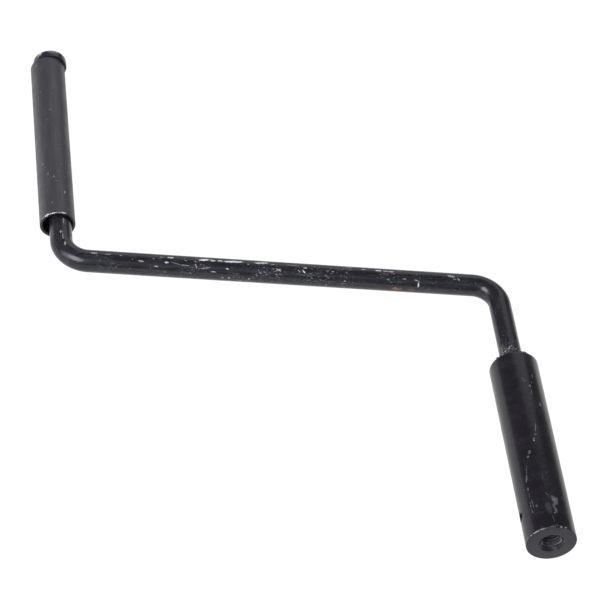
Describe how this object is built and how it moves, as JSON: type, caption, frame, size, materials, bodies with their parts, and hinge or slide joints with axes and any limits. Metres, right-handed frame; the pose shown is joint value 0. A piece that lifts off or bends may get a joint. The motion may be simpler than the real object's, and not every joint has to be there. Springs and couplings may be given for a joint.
{
  "type": "crank handle",
  "caption": "Z-bent round-bar crank with a long threaded hub welded to its drive leg and a loose tube grip that spins on its handle leg.",
  "frame": {"origin": "on the hub's axis in the plane of its threaded mouth", "axes": "+Y runs along the hub from its mouth towards the arm, +X runs from the grip leg towards the hub, +Z is square to the plane of the crank"},
  "size_m": [0.2617, 0.3327, 0.026],
  "materials": {
    "black_paint": "semi-gloss black enamel with chips and scratches",
    "sleeve_paint": "matt dark grey, rubbed at the near rim"
  },
  "bodies": {
    "crank": {"crank_bar": "black_paint", "threaded_hub": "black_paint", "hub_weld": "black_paint", "end_collar": "black_paint", "plug_weld": "black_paint"},
    "sleeve": {"grip_sleeve": "sleeve_paint"}
  },
  "joints": [
    {"name": "sleeve_spin", "type": "hinge", "parent": "crank", "child": "sleeve", "pos_m": [-0.2392, 0.26465, -0.0012], "axis": [0, 1, 0], "continuous": true}
  ]
}
